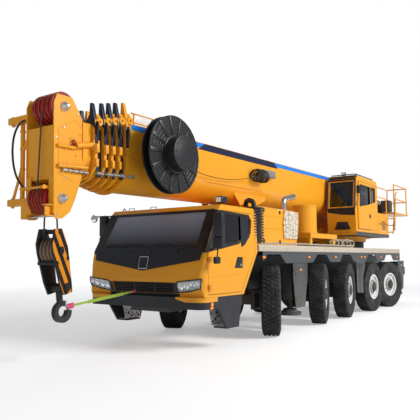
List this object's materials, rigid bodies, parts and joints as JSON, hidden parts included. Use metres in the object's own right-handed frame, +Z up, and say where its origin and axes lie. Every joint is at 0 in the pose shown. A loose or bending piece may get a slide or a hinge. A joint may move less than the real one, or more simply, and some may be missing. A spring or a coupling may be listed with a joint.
{
  "type": "all-terrain mobile crane",
  "caption": "All-terrain mobile crane on a steered wheeled carrier, telescopic boom laid forward over the cab, hook tied to the bumper, outriggers drawn in.",
  "frame": {"origin": "middle of the crane's footprint, on the ground under the tyres", "axes": "+X forward along the crane and the parked boom, +Y to the crane's left, +Z up"},
  "size_m": [14.4543, 3.1867, 3.939],
  "materials": {
    "crane_yellow": "gloss paint",
    "chassis_dark": "satin paint",
    "deck_grey": "worn satin paint",
    "trim_black": "satin",
    "tyre_rubber": "matte",
    "wheel_white": "gloss paint",
    "bare_steel": "ground",
    "rod_chrome": "polished"
  },
  "bodies": {
    "chassis": {"carrier_frame": "chassis_dark", "axle_beams": "chassis_dark", "side_panels": "chassis_dark", "deck": "deck_grey", "cab_shell": "crane_yellow", "front_trim": "trim_black", "engine_housing": "crane_yellow"},
    "steer_1_left": {"knuckle_1_left": "chassis_dark"},
    "wheel_1_left": {"tyre_1_left": "tyre_rubber", "rim_1_left": "wheel_white"},
    "steer_1_right": {"knuckle_1_right": "chassis_dark"},
    "wheel_1_right": {"tyre_1_right": "tyre_rubber", "rim_1_right": "wheel_white"},
    "steer_2_left": {"knuckle_2_left": "chassis_dark"},
    "wheel_2_left": {"tyre_2_left": "tyre_rubber", "rim_2_left": "wheel_white"},
    "steer_2_right": {"knuckle_2_right": "chassis_dark"},
    "wheel_2_right": {"tyre_2_right": "tyre_rubber", "rim_2_right": "wheel_white"},
    "steer_3_left": {"knuckle_3_left": "chassis_dark"},
    "wheel_3_left": {"tyre_3_left": "tyre_rubber", "rim_3_left": "wheel_white"},
    "steer_3_right": {"knuckle_3_right": "chassis_dark"},
    "wheel_3_right": {"tyre_3_right": "tyre_rubber", "rim_3_right": "wheel_white"},
    "steer_4_left": {"knuckle_4_left": "chassis_dark"},
    "wheel_4_left": {"tyre_4_left": "tyre_rubber", "rim_4_left": "wheel_white"},
    "steer_4_right": {"knuckle_4_right": "chassis_dark"},
    "wheel_4_right": {"tyre_4_right": "tyre_rubber", "rim_4_right": "wheel_white"},
    "steer_5_left": {"knuckle_5_left": "chassis_dark"},
    "wheel_5_left": {"tyre_5_left": "tyre_rubber", "rim_5_left": "wheel_white"},
    "steer_5_right": {"knuckle_5_right": "chassis_dark"},
    "wheel_5_right": {"tyre_5_right": "tyre_rubber", "rim_5_right": "wheel_white"},
    "cab_door_left": {"cab_door_left": "crane_yellow"},
    "cab_door_right": {"cab_door_right": "crane_yellow"},
    "outrigger_beam_front_left": {"outrigger_beam_front_left": "crane_yellow"},
    "outrigger_jack_front_left": {"outrigger_jack_front_left": "bare_steel"},
    "outrigger_beam_front_right": {"outrigger_beam_front_right": "crane_yellow"},
    "outrigger_jack_front_right": {"outrigger_jack_front_right": "bare_steel"},
    "outrigger_beam_rear_left": {"outrigger_beam_rear_left": "crane_yellow"},
    "outrigger_jack_rear_left": {"outrigger_jack_rear_left": "bare_steel"},
    "outrigger_beam_rear_right": {"outrigger_beam_rear_right": "crane_yellow"},
    "outrigger_jack_rear_right": {"outrigger_jack_rear_right": "bare_steel"},
    "turntable": {"turntable": "crane_yellow", "operator_cab": "crane_yellow"},
    "operator_door": {"operator_door": "crane_yellow"},
    "luff_barrel": {"luff_barrel": "crane_yellow"},
    "luff_rod": {"luff_rod": "rod_chrome"},
    "boom_base": {"boom_base": "crane_yellow"},
    "tele_1": {"tele_1": "crane_yellow"},
    "tele_2": {"tele_2": "crane_yellow"},
    "tele_3": {"tele_3": "crane_yellow"},
    "tele_4": {"tele_4": "crane_yellow"},
    "tele_5": {"tele_5": "crane_yellow"},
    "cable_reel": {"cable_reel": "crane_yellow"},
    "hook_block": {"hook_block": "trim_black"}
  },
  "joints": [
    {"name": "steering_1_left", "type": "hinge", "parent": "chassis", "child": "steer_1_left", "pos_m": [2.605, 1.02, 0.6835], "axis": [0, 0, 1], "range_deg": [-61.15, 4.85]},
    {"name": "wheel_spin_1_left", "type": "hinge", "parent": "steer_1_left", "child": "wheel_1_left", "pos_m": [2.53235, 1.15578, 0.6835], "axis": [-0.4718, 0.8817, 0], "continuous": true},
    {"name": "steering_1_right", "type": "hinge", "parent": "chassis", "child": "steer_1_right", "pos_m": [2.605, -1.02, 0.6835], "axis": [0, 0, 1], "range_deg": [-50.4, 4]},
    {"name": "wheel_spin_1_right", "type": "hinge", "parent": "steer_1_right", "child": "wheel_1_right", "pos_m": [2.66567, -1.16155, 0.6835], "axis": [-0.3939, 0.9191, 0], "continuous": true},
    {"name": "steering_2_left", "type": "hinge", "parent": "chassis", "child": "steer_2_left", "pos_m": [0.28, 1.02, 0.6835], "axis": [0, 0, 1], "range_deg": [-38.12, 3.02]},
    {"name": "wheel_spin_2_left", "type": "hinge", "parent": "steer_2_left", "child": "wheel_2_left", "pos_m": [0.23356, 1.16683, 0.6835], "axis": [-0.3015, 0.9535, 0], "continuous": true},
    {"name": "steering_2_right", "type": "hinge", "parent": "chassis", "child": "steer_2_right", "pos_m": [0.28, -1.02, 0.6835], "axis": [0, 0, 1], "range_deg": [-30.85, 2.45]},
    {"name": "wheel_spin_2_right", "type": "hinge", "parent": "steer_2_right", "child": "wheel_2_right", "pos_m": [0.31778, -1.16929, 0.6835], "axis": [-0.2453, 0.9694, 0], "continuous": true},
    {"name": "steering_3_left", "type": "hinge", "parent": "chassis", "child": "steer_3_left", "pos_m": [-1.31, 1.02, 0.6835], "axis": [0, 0, 1], "range_deg": [-24.65, 4.67]},
    {"name": "wheel_spin_3_left", "type": "hinge", "parent": "steer_3_left", "child": "wheel_3_left", "pos_m": [-1.33672, 1.17166, 0.6835], "axis": [-0.1735, 0.9848, 0], "continuous": true},
    {"name": "steering_3_right", "type": "hinge", "parent": "chassis", "child": "steer_3_right", "pos_m": [-1.31, -1.02, 0.6835], "axis": [0, 0, 1], "range_deg": [-19.74, 3.74]},
    {"name": "wheel_spin_3_right", "type": "hinge", "parent": "steer_3_right", "child": "wheel_3_right", "pos_m": [-1.28857, -1.1725, 0.6835], "axis": [-0.1392, 0.9903, 0], "continuous": true},
    {"name": "steering_4_left", "type": "hinge", "parent": "chassis", "child": "steer_4_left", "pos_m": [-3.235, 1.02, 0.6835], "axis": [0, 0, 1], "range_deg": [-1.63, 8.59]},
    {"name": "wheel_spin_4_left", "type": "hinge", "parent": "steer_4_left", "child": "wheel_4_left", "pos_m": [-3.22565, 1.17372, 0.6835], "axis": [0.0607, 0.9982, 0], "continuous": true},
    {"name": "steering_4_right", "type": "hinge", "parent": "chassis", "child": "steer_4_right", "pos_m": [-3.235, -1.02, 0.6835], "axis": [0, 0, 1], "range_deg": [-1.31, 6.91]},
    {"name": "wheel_spin_4_right", "type": "hinge", "parent": "steer_4_right", "child": "wheel_4_right", "pos_m": [-3.24252, -1.17382, 0.6835], "axis": [0.0488, 0.9988, 0], "continuous": true},
    {"name": "steering_5_left", "type": "hinge", "parent": "chassis", "child": "steer_5_left", "pos_m": [-4.875, 1.02, 0.6835], "axis": [0, 0, 1], "range_deg": [-7.01, 36.99]},
    {"name": "wheel_spin_5_left", "type": "hinge", "parent": "steer_5_left", "child": "wheel_5_left", "pos_m": [-4.83517, 1.16876, 0.6835], "axis": [0.2587, 0.966, 0], "continuous": true},
    {"name": "steering_5_right", "type": "hinge", "parent": "chassis", "child": "steer_5_right", "pos_m": [-4.875, -1.02, 0.6835], "axis": [0, 0, 1], "range_deg": [-5.66, 29.86]},
    {"name": "wheel_spin_5_right", "type": "hinge", "parent": "steer_5_right", "child": "wheel_5_right", "pos_m": [-4.90728, -1.17058, 0.6835], "axis": [0.2096, 0.9778, 0], "continuous": true},
    {"name": "cab_door_left_hinge", "type": "hinge", "parent": "chassis", "child": "cab_door_left", "pos_m": [4.867, 1.316, 1.3], "axis": [0, 0, -1], "range_deg": [0, 70]},
    {"name": "cab_door_right_hinge", "type": "hinge", "parent": "chassis", "child": "cab_door_right", "pos_m": [4.867, -1.316, 1.3], "axis": [0, 0, 1], "range_deg": [0, 70]},
    {"name": "outrigger_slide_front_left", "type": "slide", "parent": "chassis", "child": "outrigger_beam_front_left", "axis": [0, 1, 0], "range_m": [0, 1.55]},
    {"name": "jack_slide_front_left", "type": "slide", "parent": "outrigger_beam_front_left", "child": "outrigger_jack_front_left", "axis": [0, 0, -1], "range_m": [0, 0.3]},
    {"name": "outrigger_slide_front_right", "type": "slide", "parent": "chassis", "child": "outrigger_beam_front_right", "axis": [0, -1, 0], "range_m": [0, 1.55]},
    {"name": "jack_slide_front_right", "type": "slide", "parent": "outrigger_beam_front_right", "child": "outrigger_jack_front_right", "axis": [0, 0, -1], "range_m": [0, 0.3]},
    {"name": "outrigger_slide_rear_left", "type": "slide", "parent": "chassis", "child": "outrigger_beam_rear_left", "axis": [0, 1, 0], "range_m": [0, 1.55]},
    {"name": "jack_slide_rear_left", "type": "slide", "parent": "outrigger_beam_rear_left", "child": "outrigger_jack_rear_left", "axis": [0, 0, -1], "range_m": [0, 0.3]},
    {"name": "outrigger_slide_rear_right", "type": "slide", "parent": "chassis", "child": "outrigger_beam_rear_right", "axis": [0, -1, 0], "range_m": [0, 1.55]},
    {"name": "jack_slide_rear_right", "type": "slide", "parent": "outrigger_beam_rear_right", "child": "outrigger_jack_rear_right", "axis": [0, 0, -1], "range_m": [0, 0.3]},
    {"name": "slew", "type": "hinge", "parent": "chassis", "child": "turntable", "pos_m": [-3.43, 0, 1.96], "axis": [0, 0, 1], "continuous": true},
    {"name": "operator_door_slide", "type": "slide", "parent": "turntable", "child": "operator_door", "axis": [-1, 0, 0], "range_m": [0, 0.62]},
    {"name": "luff", "type": "hinge", "parent": "turntable", "child": "boom_base", "pos_m": [-4.93, 0, 3.17], "axis": [0, -1, 0], "range_deg": [0, 82]},
    {"name": "luff_barrel_hinge", "type": "hinge", "parent": "turntable", "child": "luff_barrel", "pos_m": [-2.25, 0, 2.21], "axis": [0, -1, 0], "range_deg": [-0.01, 94.03]},
    {"name": "luff_rod_slide", "type": "slide", "parent": "luff_barrel", "child": "luff_rod", "axis": [0.9982, 0, 0.0605], "range_m": [-0.0001, 3.5339]},
    {"name": "telescope_1", "type": "slide", "parent": "boom_base", "child": "tele_1", "axis": [0.9999, 0, -0.014], "range_m": [0, 8.4]},
    {"name": "telescope_2", "type": "slide", "parent": "tele_1", "child": "tele_2", "axis": [0.9999, 0, -0.014], "range_m": [-0.001, 8.401]},
    {"name": "telescope_3", "type": "slide", "parent": "tele_2", "child": "tele_3", "axis": [0.9999, 0, -0.014], "range_m": [-0.001, 8.401]},
    {"name": "telescope_4", "type": "slide", "parent": "tele_3", "child": "tele_4", "axis": [0.9999, 0, -0.014], "range_m": [-0.001, 8.401]},
    {"name": "telescope_5", "type": "slide", "parent": "tele_4", "child": "tele_5", "axis": [0.9999, 0, -0.014], "range_m": [-0.001, 8.401]},
    {"name": "reel_turn", "type": "hinge", "parent": "boom_base", "child": "cable_reel", "pos_m": [5.24603, 0.78, 3.17292], "axis": [0, 1, 0], "continuous": true},
    {"name": "hook_swing", "type": "hinge", "parent": "tele_5", "child": "hook_block", "pos_m": [6.99976, 0, 2.35336], "axis": [0, -1, 0], "range_deg": [-68.05, 0.05]}
  ],
  "couplings": [
    {"joint": "steering_1_right", "follows": "steering_1_left", "ratio": 0.8242},
    {"joint": "steering_2_left", "follows": "steering_1_left", "ratio": 0.6234},
    {"joint": "steering_2_right", "follows": "steering_1_left", "ratio": 0.5044},
    {"joint": "steering_3_left", "follows": "steering_5_left", "ratio": -0.6664},
    {"joint": "steering_3_right", "follows": "steering_5_left", "ratio": -0.5337},
    {"joint": "steering_4_left", "follows": "steering_5_left", "ratio": 0.2322},
    {"joint": "steering_4_right", "follows": "steering_5_left", "ratio": 0.1868},
    {"joint": "steering_5_right", "follows": "steering_5_left", "ratio": 0.8072},
    {"joint": "luff_barrel_hinge", "follows": "luff", "ratio": 1.1461},
    {"joint": "luff_rod_slide", "follows": "luff", "m_per_rad": 2.4686},
    {"joint": "telescope_2", "follows": "telescope_1", "ratio": 1},
    {"joint": "telescope_3", "follows": "telescope_1", "ratio": 1},
    {"joint": "telescope_4", "follows": "telescope_1", "ratio": 1},
    {"joint": "telescope_5", "follows": "telescope_1", "ratio": 1},
    {"joint": "hook_swing", "follows": "luff", "ratio": -0.82927}
  ]
}
